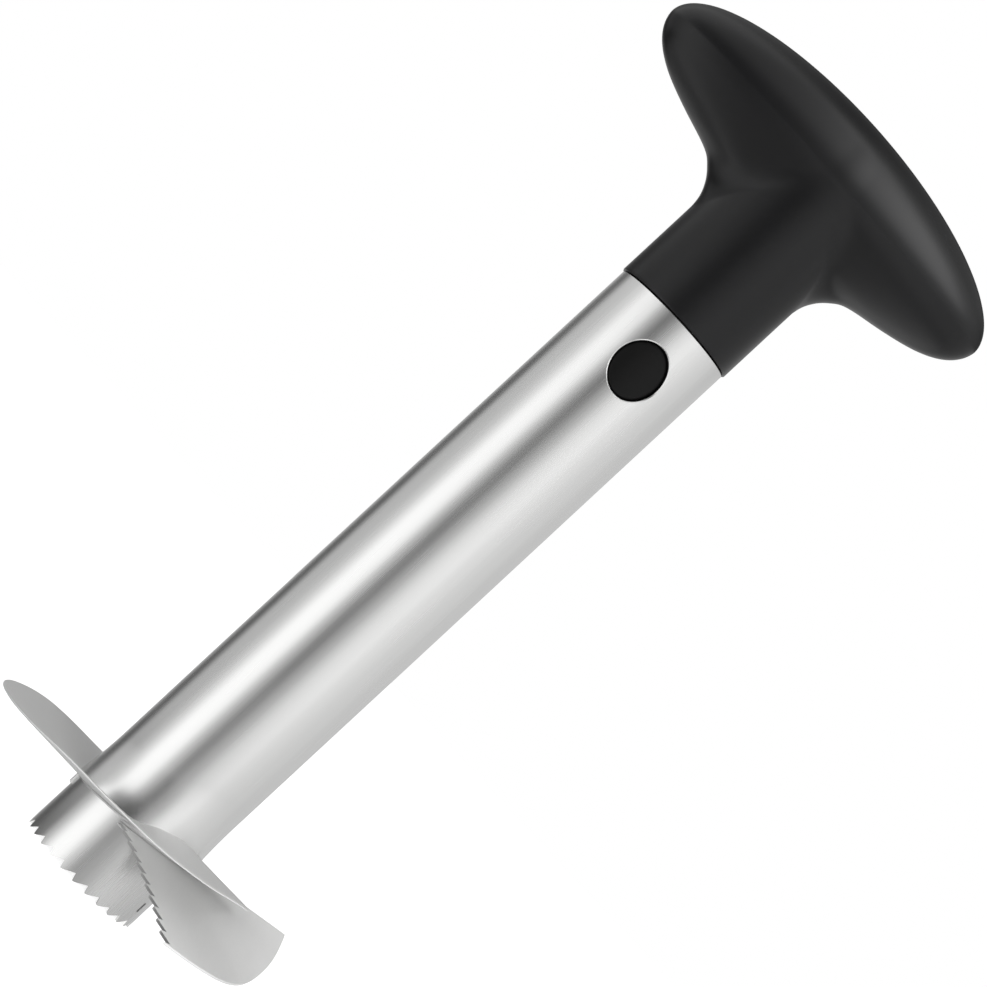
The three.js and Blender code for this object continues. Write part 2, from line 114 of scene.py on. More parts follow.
class Finish:
    """The node tree of a material or of the sky. node() adds any node, its settings first."""

    def __init__(self, owner):
        owner.use_nodes = True
        self.owner, self.tree = owner, owner.node_tree
        self.tree.nodes.clear()

    def node(self, kind, settings=None, sockets=None, output=0):
        made = self.tree.nodes.new(kind)
        for name, value in (settings or {}).items():
            if name == "stops":
                ramp = made.color_ramp.elements
                ramp.remove(ramp[1])
                ramp[0].position = value[0][0]
                for place, _ in value[1:]:
                    ramp.new(place)
                for stop, (_, level) in zip(ramp, value):
                    stop.color = grey(level)
            else:
                setattr(made, name, value)
        for name, value in (sockets or {}).items():
            if isinstance(value, Wire):
                self.tree.links.new(value.socket, made.inputs[name])
            else:
                made.inputs[name].default_value = value
        return Wire(self, made.outputs[output]) if len(made.outputs) else made

    def place(self):
        """Object coordinates, in metres."""
        return self.node("ShaderNodeTexCoord", output="Object")

    def grain(self, place, stretch, scale, detail):
        """Noise from 0 to 1 about 1/scale metres fine, with each axis stretched by its factor."""
        stretched = self.node(
            "ShaderNodeVectorMath", {"operation": "MULTIPLY"}, {0: place, 1: stretch}
        )
        return self.node(
            "ShaderNodeTexNoise", None, {"Vector": stretched, "Scale": scale, "Detail": detail}
        )

    def between(self, share, first, second):
        """A colour mixed from two, by a share from 0 to 1."""
        return self.node(
            "ShaderNodeMix", {"data_type": "RGBA", "clamp_factor": True},
            {0: share, 6: first, 7: second}, output=2,
        )

    def ramp(self, share, stops):
        """Grey level along given stops of [share, grey], eased from each to the next."""
        made = self.node("ShaderNodeValToRGB", {"stops": stops}, {0: share})
        made.socket.node.color_ramp.interpolation = "EASE"
        return made

    def bump(self, height, strength, depth):
        return self.node(
            "ShaderNodeBump", None, {"Height": height, "Strength": strength, "Distance": depth}
        )

    def background_rays(self):
        """1 on a ray that shows the background to the camera, to gloss or through glass, else 0."""
        rays = self.node("ShaderNodeLightPath").socket.node.outputs
        direct, mirrored, clear = (
            Wire(self, rays[f"Is {kind} Ray"]) for kind in ("Camera", "Glossy", "Transmission")
        )
        shown = direct + mirrored + clear
        return self.node("ShaderNodeMath", {"operation": "MINIMUM"}, {0: shown, 1: 1.0})

    def surface(self, **sockets):
        """The finished surface, from the shader's sockets with _ for each space in their names."""
        named = {name.replace("_", " "): value for name, value in sockets.items()}
        shader = self.node("ShaderNodeBsdfPrincipled", None, named)
        self.node("ShaderNodeOutputMaterial", None, {"Surface": shader})
        return self.owner


def new_finish(name):
    return Finish(bpy.data.materials.new(name))


def grey(level):
    return (level, level, level, 1)


def add_mesh(name, points, faces, material):
    """A mesh object with its place in its vertices, smooth except across its sharp edges."""
    mesh = bpy.data.meshes.new(name)
    corners = [list(map(int, face)) for face in faces]
    mesh.from_pydata(np.asarray(points, float).tolist(), [], corners)
    mesh.update()
    piece = bpy.data.objects.new(name, mesh)
    bpy.context.scene.collection.objects.link(piece)
    piece.data.materials.append(material)
    mesh.shade_smooth()
    mesh.set_sharp_from_angle(angle=sharp_angle)
    return piece


def floor_finish():
    """White board: plain white paper, and brighter where it is seen as the background."""
    made = new_finish("white_board")
    paper = made.node("ShaderNodeBsdfDiffuse", None, {"Color": grey(floor_grey)})
    glow = made.node("ShaderNodeEmission", None, {"Color": grey(1.0), "Strength": floor_glow})
    nothing = made.node("ShaderNodeEmission", None, {"Color": grey(0.0), "Strength": 0.0})
    shown = made.node("ShaderNodeMixShader", None, {0: made.background_rays(), 1: nothing, 2: glow})
    both = made.node("ShaderNodeAddShader", None, {0: paper, 1: shown})
    made.node("ShaderNodeOutputMaterial", None, {"Surface": both})
    return made.owner


square = np.array([[-1, -1], [1, -1], [1, 1], [-1, 1]])
floor_corners = np.column_stack([square * floor_half_width, np.zeros(4)])
floor = add_mesh("floor", floor_corners, [(0, 1, 2, 3)], floor_finish())
floor.visible_glossy = False

# Brightness round the tent, as [share of a turn, share of the brightest], from straight left of
# the camera's view, by the camera, to the right and round the back: below the floor's edge, down by
# the floor, level with the tool, high up and overhead
deep_stops = [
    (0.0, 0.9), (0.06, 1.0), (0.12, 0.95), (0.17, 0.55), (0.22, 0.35), (0.3, 0.38), (0.38, 0.5),
    (0.44, 0.72), (0.5, 0.95), (0.6, 1.0), (0.7, 0.8), (0.8, 0.55), (0.88, 0.4), (0.94, 0.5),
]
floor_stops = [
    (0.02, 0.32), (0.04, 0.53), (0.07, 1.0), (0.14, 1.0), (0.18, 0.64), (0.22, 0.34), (0.3, 0.29),
    (0.36, 0.4), (0.42, 0.42), (0.5, 0.36), (0.6, 0.37), (0.7, 0.44), (0.8, 0.35), (0.86, 0.08),
    (0.94, 0.03),
]
low_stops = [
    (0.02, 0.5), (0.05, 0.68), (0.08, 1.0), (0.14, 0.95), (0.17, 0.45), (0.22, 0.1), (0.26, 0.36),
    (0.33, 0.74), (0.38, 0.81), (0.42, 0.67), (0.5, 0.58), (0.6, 0.5), (0.8, 0.39), (0.86, 0.08),
    (0.89, 0.08), (0.93, 0.43),
]
high_stops = [
    (0.0, 1.0), (0.05, 0.85), (0.1, 0.2), (0.14, 0.1), (0.2, 0.03), (0.24, 0.04), (0.3, 0.4),
    (0.38, 0.75), (0.5, 0.7), (0.56, 0.3), (0.62, 0.1), (0.75, 0.08), (0.88, 0.25), (0.94, 0.9),
]
top_stops = [
    (0.0, 1.0), (0.06, 1.0), (0.12, 0.65), (0.19, 0.6), (0.25, 0.8), (0.4, 0.9), (0.5, 0.8),
    (0.58, 0.35), (0.75, 0.1), (0.85, 0.3), (0.94, 0.9),
]
# A strip light up to the right of the camera, as shares along the same turn and up the tent
strip_turn_stops = [(0.27, 0), (0.33, 0.7), (0.38, 1), (0.43, 1), (0.48, 0)]
strip_rise_stops = [(0.55, 0), (0.68, 1), (0.88, 1), (0.97, 0.5)]
strip_gain = 2.4
tent_gain = 1.5
tent_centre = 100 * MM
# Heights, as shares of the tent's radius, between which each level passes over into the next one
fades = [(-0.55, -0.4), (-0.262, -0.25), (0.27, 0.36), (0.6, 0.8)]


def tent_finish():
    """Tent cloth: its brightness follows the angle round the tool and the height."""
    made = new_finish("tent_cloth")
    axes = made.node("ShaderNodeSeparateXYZ", None, {0: made.place()}, output=0)
    x, y, z = (Wire(made, axes.socket.node.outputs[i]) for i in (0, 1, 2))
    angle = made.node("ShaderNodeMath", {"operation": "ARCTAN2"}, {0: y, 1: x})
    turn = (angle + (math.pi + camera_turn)) * (1 / (2 * math.pi))
    share = made.node("ShaderNodeMath", {"operation": "FRACT"}, {0: turn})
    up = (z - tent_centre) * (1 / tent_radius)
    level = made.ramp(share, deep_stops)
    for (low, high), stops in zip(fades, (floor_stops, low_stops, high_stops, top_stops)):
        fade = made.node(
            "ShaderNodeMapRange", {"interpolation_type": "SMOOTHSTEP"}, {0: up, 1: low, 2: high}
        )
        level = made.between(fade, level, made.ramp(share, stops))
    strip = made.ramp(share, strip_turn_stops) * made.ramp(up, strip_rise_stops)
    level = level + strip * strip_gain
    glow = made.node("ShaderNodeEmission", None, {"Color": level, "Strength": tent_gain})
    made.node("ShaderNodeOutputMaterial", None, {"Surface": glow})
    return made.owner


tent_sides, tent_rings = 96, 47
turns = np.linspace(0, 2 * np.pi, tent_sides, endpoint=False)
lifts = np.linspace(-0.5 * np.pi, 0.5 * np.pi, tent_rings + 2)[1:-1, None]
tent_points = np.stack([
    tent_radius * np.cos(lifts) * np.cos(turns), tent_radius * np.cos(lifts) * np.sin(turns),
    tent_centre + tent_radius * np.sin(lifts) + 0 * turns,
], -1).reshape(-1, 3)
index = np.arange(tent_sides * tent_rings).reshape(tent_rings, tent_sides)
after = np.roll(index, -1, 1)
tent_faces = np.stack([after[:-1], index[:-1], index[1:], after[1:]], -1).reshape(-1, 4).tolist()
tent_points = np.vstack([
    tent_points, [(0, 0, tent_centre - tent_radius), (0, 0, tent_centre + tent_radius)],
])
bottom, top = len(tent_points) - 2, len(tent_points) - 1
tent_faces += [(bottom, here, there) for here, there in zip(index[0], after[0])]
tent_faces += [(top, there, here) for here, there in zip(index[-1], after[-1])]
tent = add_mesh("tent", tent_points, tent_faces, tent_finish())
tent.visible_camera = False
tent.visible_diffuse = False
tent.visible_shadow = False
tent.visible_transmission = False

sky = Finish(bpy.data.worlds.new("sky"))
bpy.context.scene.world = sky.owner
sky_strength = sky.background_rays() * (1 - sky_level) + sky_level
cloth = sky.node("ShaderNodeBackground", None, {"Color": grey(1.0), "Strength": sky_strength})
sky.node("ShaderNodeOutputWorld", None, {"Surface": cloth})

# Soft box lamps, placed to the right of, beyond and above the tool as the camera sees it, as [name,
# right, beyond, above, width, height, power, height that it aims at]. What is glossy shows the tent
# and not the lamps.
lamps = [
    ("key_lamp", 0.5, -0.55, 0.75, 0.5, 0.3, 1.0, 0.12),
    ("fill_lamp", -0.75, -0.5, 0.35, 0.4, 0.6, 2.5, 0.12),
    ("top_lamp", 0.0, 0.1, 1.1, 0.6, 0.6, 1.0, 0.12),
    ("front_lamp", 0.25, -0.9, 0.1, 0.5, 0.2, 11.0, 0.02),
]
for name, right, beyond, above, width, height, power, aim in lamps:
    lamp = bpy.data.objects.new(name, bpy.data.lights.new(name, "AREA"))
    lamp.data.shape = "RECTANGLE"
    lamp.data.size, lamp.data.size_y = width, height
    lamp.data.energy = power
    lamp.location = right * aside + beyond * ahead + above * upward
    lamp.rotation_mode = "QUATERNION"
    lamp.rotation_quaternion = (aim * upward - lamp.location).to_track_quat("-Z", "Y")
    lamp.visible_glossy = False
    bpy.context.scene.collection.objects.link(lamp)


# Barrel tube.
# A drawn stainless tube, brushed lengthwise. Its lower end is milled into a ring of saw teeth, and
# near the top it is pierced for the two buttons.
tube_radius = 16 * MM
tube_wall = 0.7 * MM
tube_top = 179.2 * MM
tooth_count = 26
tooth_depth = 1.7 * MM
first_tooth = math.radians(-99)
columns_per_tooth = 14
# The teeth are ground back this far on the inside, and the tube's upper edge is broken this much
tooth_bevel = 0.25 * MM
tube_edge = 0.08 * MM
# Heights of the wall's rows above the teeth, in shares of the tube's height
wall_row_shares = [0.99, 0.75, 0.5, 0.25, 0.1, 0.05, 0.025]
hole_half_width = 6.3 * MM
hole_half_height = 7.3 * MM
hole_height = 165.2 * MM
hole_chamfer = 0.22 * MM
hole_sides = 96
# How far out from the tube's face a hole's cutter comes to a point, starts and ends
hole_cut_tip = -8 * MM
hole_cut_start = -6 * MM
cut_end = 3 * MM
slot_width = 0.9 * MM
slot_height = 2.6 * MM
slot_centre = 5.8 * MM
slot_angle = math.radians(-32)
slot_cut_past = 2 * MM
# One tooth, as [share of the pitch, share of the depth]
tooth_shares = [(0, 0), (0.1, 0), (0.86, 1), (1, 0)]


def loft(name, outlines, material, joined=False, poles=None):
    """A closed skin over outlines of as many points each, an array of runs by points by x, y, z.

    Each outline closes on itself. A joined run closes too. Otherwise its two ends are closed by a
    fan to each pole, or by strips across between the outline's two halves.
    """
    outlines = np.asarray(outlines, float)
    runs, count, _ = outlines.shape
    index = np.arange(runs * count).reshape(runs, count)
    rows = np.vstack([index, index[:1]]) if joined else index
    wide = np.hstack([rows, rows[:, :1]])
    quads = np.stack([wide[:-1, :-1], wide[:-1, 1:], wide[1:, 1:], wide[1:, :-1]], -1)
    faces = quads.reshape(-1, 4).tolist()
    points = outlines.reshape(-1, 3)
    if poles is not None:
        points = np.vstack([points, poles])
        start, end = runs * count, runs * count + 1
        faces += np.stack([np.full(count, start), np.roll(index[0], -1), index[0]], -1).tolist()
        faces += np.stack([np.full(count, end), index[-1], np.roll(index[-1], -1)], -1).tolist()
    elif not joined:
        near = np.arange(count // 2 - 1)
        across = count - 1 - near
        for row, turn in ((index[0], -1), (index[-1], 1)):
            strip = np.stack([row[near], row[near + 1], row[across - 1], row[across]], -1)
            faces += strip[:, ::turn].tolist()
    return add_mesh(name, points, faces, material)


def around(angle, radius, height):
    """Points at angles, radii and heights round the tube's axis, as one array."""
    angle, radius, height = np.broadcast_arrays(angle, radius, height)
    return np.stack([radius * np.cos(angle), radius * np.sin(angle), height], -1)


def facing(points, side):
    """Points as drawn for the front, where side is 1, or turned half round to the rear, at -1."""
    return np.array(points) * [side, side, 1]


def cut_away(piece, cutter):
    """Cuts a solid out of a piece, and then removes the cutter."""
    cut = piece.modifiers.new("cut", "BOOLEAN")
    cut.operation, cut.solver, cut.object = "DIFFERENCE", "EXACT", cutter
    graph = bpy.context.evaluated_depsgraph_get()
    done = bpy.data.meshes.new_from_object(piece.evaluated_get(graph))
    piece.modifiers.remove(cut)
    piece.data = done
    bpy.data.objects.remove(cutter)
    piece.data.shade_smooth()
    piece.data.set_sharp_from_angle(angle=sharp_angle)


def steel_finish(name, level, rough, stretch, streak, metal=1.0):
    """Brushed stainless: fine streaks along one way, with faint clouds in the sheen.

    Level is its grey, rough its least roughness, stretch the factors that draw the streaks out along
    X, Y and Z, and streak their depth.
    """
    made = new_finish(name)
    place = made.place()
    fine = made.grain(place, stretch, 2600, detail=4)
    broad = made.grain(place, stretch, 420, detail=2)
    cloud = made.grain(place, (1, 1, 1), 38, detail=2)
    tone = fine * 0.5 + broad * 0.3 + cloud * 0.2
    bright = (level * 1.05, level * 1.05, level * 1.035, 1)
    colour = made.between(tone, grey(level * 0.94), bright)
    roughness = rough + fine * 0.07 + cloud * 0.07
    relief = fine * streak + broad * (0.5 * streak)
    return made.surface(
        Base_Color=colour, Metallic=metal, Roughness=roughness,
        Normal=made.bump(relief, 0.35, 0.006 * MM),
    )


tube_steel = steel_finish("tube_steel", 0.7, 0.19, (1, 1, 0.012), 1.0)

tube_columns = tooth_count * columns_per_tooth
tooth_share = np.arange(tube_columns) / columns_per_tooth
flank_at, flank_depth = np.array(tooth_shares, float).T
tooth_low = tooth_depth * np.interp(tooth_share % 1, flank_at, flank_depth)
tube_angles = first_tooth + tooth_share * 2 * np.pi / tooth_count
wall_heights = np.array(wall_row_shares) * tube_top


def tube_column(radius, low):
    """Points down one wall at every column: level rows that end at the teeth."""
    rows = [np.full(tube_columns, height) for height in wall_heights] + [low]
    return np.stack([around(tube_angles, radius, row) for row in rows], 1)


outer_wall = tube_column(tube_radius, tooth_low)
inner_wall = tube_column(tube_radius - tube_wall, tooth_low + tooth_bevel)[:, ::-1]
outer_top = around(tube_angles, tube_radius, tube_top - tube_edge)[:, None]
outer_lip = around(tube_angles, tube_radius - tube_edge, tube_top)[:, None]
inner_top = around(tube_angles, tube_radius - tube_wall, tube_top)[:, None]
tube = loft(
    "tube_skin",
    np.concatenate([outer_lip, outer_top, outer_wall, inner_wall, inner_top], 1),
    tube_steel, joined=True,
)

# Each button hole is an oval along Y whose outer edge is broken by a small chamfer
hole_turns = np.linspace(0, 2 * np.pi, hole_sides, endpoint=False)


def hole_ring(widen, rise):
    """One ring of the front hole's cutter, widened, at a rise above the tube's outer face."""
    x = (hole_half_width + widen) * np.cos(hole_turns)
    z = hole_height + (hole_half_height + widen) * np.sin(hole_turns)
    return np.stack([x, -(np.sqrt(tube_radius**2 - x**2) + rise), z], -1)


def pierce(piece, name, rings, tip, material):
    """Cuts a hole front and rear, from the front cutter's rings and the rise of its inner point."""
    poles = [(0, -(tube_radius + rise), hole_height) for rise in (tip, cut_end)]
    for side in (1, -1):
        cut_away(piece, loft(name, facing(rings, side), material, poles=facing(poles, side)))


hole_rings = [
    hole_ring(0, hole_cut_start), hole_ring(0, -hole_chamfer),
    hole_ring(2 * hole_chamfer, hole_chamfer), hole_ring(2 * hole_chamfer, cut_end),
]
pierce(tube, "hole_cutter", hole_rings, hole_cut_tip, tube_steel)

slot_outline = square * [slot_width / 2, slot_height / 2]
slot_rows = [
    np.column_stack([np.full(4, reach), slot_outline[:, 0], slot_outline[:, 1] + slot_centre])
    for reach in (tube_radius - slot_cut_past, tube_radius + slot_cut_past)
]
slot_turn = np.array([
    [math.cos(slot_angle), math.sin(slot_angle), 0],
    [-math.sin(slot_angle), math.cos(slot_angle), 0],
    [0, 0, 1],
])
cut_away(tube, loft("slot_cutter", np.array(slot_rows) @ slot_turn, tube_steel))
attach(tube, "barrel")
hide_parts("barrel_tube")


# Upper blade.
# Sheet steel, pressed to a shallow helix and welded round the tube. It rises at the front to a lip,
# and is cut straight on the right, where the slice comes out.
sheet = 0.6 * MM
blade_radius = 42.47 * MM
blade_root = tube_radius - 0.3 * MM
upper_angles = (math.radians(17), math.radians(356))
upper_base = 16.3 * MM
upper_rise = 8.7 * MM
chord_reach = 30.2 * MM
chord_angle = math.radians(-9)
upper_columns = 640
upper_rows = 14
# Rise of the sheet where it meets the tube and along its rim, as [share of the turn, share of rise]
upper_root_shares = [
    (0, 0.04), (0.5, 0), (0.58, 0.04), (0.62, 0.1), (0.69, 0.205), (0.724, 0.33), (0.767, 0.6),
    (0.833, 0.77), (0.88, 0.735), (1, 0.57),
]
upper_rim_shares = [
    (0, 0.18), (0.26, 0.25), (0.34, 0.3), (0.42, 0.17), (0.5, 0.12), (0.58, 0.25), (0.64, 0.44),
    (0.7, 0.535), (0.757, 0.63), (0.8, 0.78), (0.86, 1), (1, 0.64),
]
# The ground rim in section, as [distance in from the edge, depth below the top], in thicknesses of
# the sheet
rim_shares = [
    (2.6, 0), (1.6, 0.02), (0.2, 0.34), (0.04, 0.4), (0, 0.47), (0, 0.53), (0.04, 0.6), (0.2, 0.66),
    (1.6, 0.98), (2.6, 1),
]


def eased(points, shares):
    """Value at each share of a run through given points, by a cubic between neighbours.

    Its slope at a point is that of the line through the points on either side.
    """
    at, value = np.array(points, float).T
    low = np.maximum(np.arange(len(at)) - 1, 0)
    high = np.minimum(np.arange(len(at)) + 1, len(at) - 1)
    slope = (value[high] - value[low]) / (at[high] - at[low])
    before = np.clip(np.searchsorted(at, shares, side="right") - 1, 0, len(at) - 2)
    run = at[before + 1] - at[before]
    part = (shares - at[before]) / run
    blend = part * part * (3 - 2 * part)
    leave = part * (1 - part) ** 2 * run * slope[before]
    arrive = part * part * (1 - part) * run * slope[before + 1]
    return value[before] * (1 - blend) + value[before + 1] * blend + leave - arrive


blade_steel = steel_finish("blade_steel", 0.6, 0.45, (1, 0.05, 1), 0.8, metal=0.2)

corner = math.acos(chord_reach / blade_radius)
angles = np.linspace(*upper_angles, upper_columns)
corners = [chord_angle + corner, chord_angle - corner + 2 * math.pi]
angles = np.unique(np.concatenate([angles, corners]))
turn_share = (angles - upper_angles[0]) / (upper_angles[1] - upper_angles[0])
upper_root_height = upper_base + upper_rise * eased(upper_root_shares, turn_share)
upper_rim_height = upper_base + upper_rise * eased(upper_rim_shares, turn_share)
towards = np.cos(angles - chord_angle)
cut_straight = towards > chord_reach / blade_radius
reach = np.full_like(angles, blade_radius)
reach[cut_straight] = chord_reach / towards[cut_straight]


def upper_height(radius):
    """Height of the sheet's top: straight from its root on the tube to its rim."""
    out = (radius - tube_radius) / (blade_radius - tube_radius)
    return upper_root_height + (upper_rim_height - upper_root_height) * out


out_shares = np.linspace(0, 1, upper_rows)[:, None]
inward, below = (np.array(rim_shares).T * sheet)[:, :, None]
top_radius = blade_root + (reach - rim_shares[0][0] * sheet - blade_root) * out_shares[:-1]
rim_radius = reach - inward
under_radius = top_radius[::-1]
section_radius = np.concatenate([top_radius, rim_radius, under_radius])
section_depth = np.concatenate([0 * top_radius, below + 0 * rim_radius, sheet + 0 * under_radius])
upper = loft(
    "upper_blade_sheet",
    around(angles[:, None], section_radius.T, (upper_height(section_radius) - section_depth).T),
    blade_steel,
)
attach(upper, "barrel")
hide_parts("upper_blade")


# Lower blade.
# A second sheet below the lip, twisted like a propeller: its front edge dips and is cut into saw
# teeth, and its back corner stands above the upper blade.
lower_radius = 43.5 * MM
lead_drop = 8.1 * MM
trail_rise = 6.7 * MM
root_climb = 2.3 * MM
arch = 0.8 * MM
lower_root_angles = (math.radians(-108), math.radians(8.2))
lower_rim_angles = (math.radians(-67.5), math.radians(8.2))
lower_teeth = 11
lower_tooth_depth = 1.5 * MM
lower_tooth_shares = [(0, 0), (0.1, 0), (0.78, 1), (1, 0)]
columns_per_lower_tooth = 9
lower_rows = 70
# The first whole row behind the teeth, in depths of a tooth from the front edge
lower_tooth_foot = 1.6
# Climb of the sheet along the tube and along its rim, as [share of the run, share of the climb]
lower_root_shares = [(0, 0), (0.25, 0.5), (0.55, 0.82), (1, 1)]
lower_rim_shares = [
    (0, 0), (0.12, 0.035), (0.26, 0.074), (0.37, 0.108), (0.45, 0.145), (0.54, 0.21), (0.63, 0.32),
    (0.73, 0.48), (0.83, 0.665), (0.92, 0.832), (1, 1),
]
# Darker steel for the sawn faces of the teeth: painted shade for the dark marks along the teeth
teeth_shade_steel = steel_finish("teeth_shade_steel", 0.3, 0.4, (1, 1, 1), 0.8)


def lower_top(run, out):
    """Points on the lower blade's top: lines from tube to rim, arched at the front edge only.

    run goes from the front edge to the back edge and out from the tube to the rim, both 0 to 1.
    """
    root_angle = lower_root_angles[0] + run * (lower_root_angles[1] - lower_root_angles[0])
    rim_angle = lower_rim_angles[0] + run * (lower_rim_angles[1] - lower_rim_angles[0])
    rise = (lead_drop + trail_rise) * eased(lower_rim_shares, run)
    root = around(root_angle, blade_root, upper_base + root_climb * eased(lower_root_shares, run))
    rim = around(rim_angle, lower_radius, upper_base - lead_drop + rise)
    lift = 4 * arch * out * (1 - out) * (1 - run)
    return root + (rim - root) * out[..., None] + lift[..., None] * [0, 0, 1]


front_middle, back_middle = lower_top(np.array([0.0, 1.0]), np.array([0.5, 0.5]))
tooth_run = lower_tooth_depth / np.linalg.norm(back_middle - front_middle)
lower_columns = lower_teeth * columns_per_lower_tooth
out_at = np.arange(lower_columns + 1) / lower_columns
flank_at, flank_depth = np.array(lower_tooth_shares, float).T
cut_back = tooth_run * np.interp((out_at * lower_teeth) % 1, flank_at, flank_depth)
run_at = np.linspace(lower_tooth_foot * tooth_run, 1, lower_rows)
run_at = np.concatenate([[0], run_at])[:, None]
fade = np.zeros_like(run_at)
fade[0] = 1
runs = run_at + fade * cut_back
outs = np.broadcast_to(out_at, runs.shape)
top = lower_top(runs, outs)
under = top[:, ::-1] - [0, 0, sheet]
lower = loft("lower_blade_sheet", np.concatenate([top, under], 1), blade_steel)
lower.data.materials.append(teeth_shade_steel)
# The sawn faces of the teeth are the strip that closes the front edge, before the one at the back;
# they take the darker steel of painted shade
for face in lower.data.polygons[-2 * lower_columns:-lower_columns]:
    face.material_index = 1
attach(lower, "barrel")
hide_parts("lower_blade")


# Collar and welds.
# A thin steel strip is bent round the back of the tube under the upper blade, and a small hollow
# fillet of weld follows each blade's root. Over the upper blade the wall swells out to meet it.
collar_thickness = 0.5 * MM
collar_height = 2.8 * MM
collar_top = 15.4 * MM
collar_angles = (math.radians(51), math.radians(181))
collar_gap = 0.1 * MM
collar_round = 0.12 * MM
collar_columns = 60
weld_width = 0.5 * MM
# How deep a weld is sunk into tube and sheet, in shares of its width
weld_sink = 0.4
weld_columns = 120
# A bead starts this small, and is whole after one part in bead_taper of its length
bead_tip = 0.02
bead_taper = 30
flare_rows = 24
flare_width = 3 * MM
flare_height = 13 * MM
flare_angle = math.radians(235)
flare_spread = math.radians(42)
flare_least = 0.15
flare_inset = -0.3 * MM


def bead(name, line, out, rise, material):
    """A bead along a line of points on the tube. Its section lies out from and above the points.

    out is one row, or a row for each point of the line. The bead tapers to nothing at both ends.
    """
    way = line * [1, 1, 0]
    outward = way / np.linalg.norm(way, axis=1)[:, None]
    grown = np.linspace(bead_tip, bead_taper, len(line))
    ends = np.minimum(grown, np.linspace(bead_taper, bead_tip, len(line)))
    section = outward[:, None] * np.atleast_2d(out)[..., None] + rise[:, None] * [0, 0, 1]
    points = line[:, None] + section * np.sqrt(np.clip(ends, 0, 1))[:, None, None]
    made = loft(name, points, material, poles=line[[0, -1]])
    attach(made, "barrel")


weld_steel = steel_finish("weld_steel", 0.4, 0.45, (1, 1, 1), 0.6, metal=0.4)
collar_turns = np.linspace(*collar_angles, collar_columns)[:, None]
collar_section = np.array([
    [-collar_gap, 0], [collar_thickness - collar_round, 0], [collar_thickness, -collar_round],
    [collar_thickness, collar_round - collar_height],
    [collar_thickness - collar_round, -collar_height], [-collar_gap, -collar_height],
])
collar_radii = tube_radius + collar_gap + collar_section[:, 0]
collar_heights = collar_top + collar_section[:, 1]
collar = loft("collar_strip", around(collar_turns, collar_radii, collar_heights), blade_steel)
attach(collar, "barrel")
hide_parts("blade_collar")

lower_weld_angles = np.linspace(*lower_root_angles, weld_columns)
lower_weld_climb = root_climb * eased(lower_root_shares, np.linspace(0, 1, weld_columns))
lower_weld_height = upper_base + lower_weld_climb
fillet_turns = np.linspace(0, 0.5 * np.pi, 7)
fillet_out = weld_width * np.concatenate([1 - np.sin(fillet_turns), [-weld_sink, -weld_sink]])
fillet_rise = weld_width * np.concatenate([1 - np.cos(fillet_turns), [1, -weld_sink]])
# Each weld, as [name, angles, heights, 1 above its sheet or -1 below it]
welds = [
    ("upper_under_weld", angles, upper_root_height - sheet, -1),
    ("lower_weld", lower_weld_angles, lower_weld_height, 1),
    ("lower_under_weld", lower_weld_angles, lower_weld_height - sheet, -1),
]
for name, weld_angles, level, side in welds:
    line = around(weld_angles, tube_radius, level)
    bead(name, line, fillet_out[::-side], side * fillet_rise[::-side], weld_steel)

# Above the upper blade the wall swells along a parabola, the most at the front left
flare_shares = np.linspace(1, 0, flare_rows)
flare_lobe = np.exp(-(((angles - flare_angle) / flare_spread) ** 2))
flare_swell = flare_least + (1 - flare_least) * flare_lobe
flare_out = np.concatenate([[flare_inset, flare_inset], flare_width * (1 - flare_shares) ** 2])
flare_rise = np.concatenate([[flare_inset, flare_height], flare_height * flare_shares])
bead(
    "tube_flare", around(angles, tube_radius, upper_root_height),
    flare_swell[:, None] * flare_out, flare_rise, tube_steel,
)


# Grip.
# Soft black skin moulded over the core in one piece: a round neck that flows into a tapered bar,
# with a soft valley on each side of the neck.
neck_radius = 16.4 * MM
grip_wall = 2.4 * MM
bar_half_length = 51.5 * MM
bar_half_depth = 16.6 * MM
bar_low = 197.2 * MM
bar_top = 242.3 * MM
neck_side_blend = 18 * MM
neck_front_blend = 4 * MM
blend_power = 6
# The front fillet loses this share of its width, from this share of the bar's height up, over a
# rise of this share
front_blend_loss = 0.8
front_loss_start = 0.35
front_loss_rise = 0.25
fullest_share = 0.63
grip_bottom = tube_top + 0.3 * MM
grip_columns = 192
# The columns stand closer together at the bar's ends by this factor
column_crowding = 1.5
lip_round = 0.25 * MM
# Half length and half depth of the bar below its fullest level, as [share of its height, share of
# its greatest]
bar_length_shares = [
    (0, 0), (0.1, 0.06), (0.19, 0.195), (0.25, 0.305), (0.3, 0.415), (0.36, 0.655), (0.43, 0.84),
    (0.52, 0.955), (0.63, 1), (0.73, 0.975),
]
bar_depth_shares = [
    (0, 0), (0.1, 0.03), (0.25, 0.37), (0.39, 0.68), (0.51, 0.89), (0.63, 1), (0.75, 0.99),
]


def filleted_larger(first, second, width):
    """The larger of two lengths, with a fillet of that width where they are alike."""
    near = np.maximum(width - np.abs(first - second), 0) / width
    return np.maximum(first, second) + near * near * width / 4


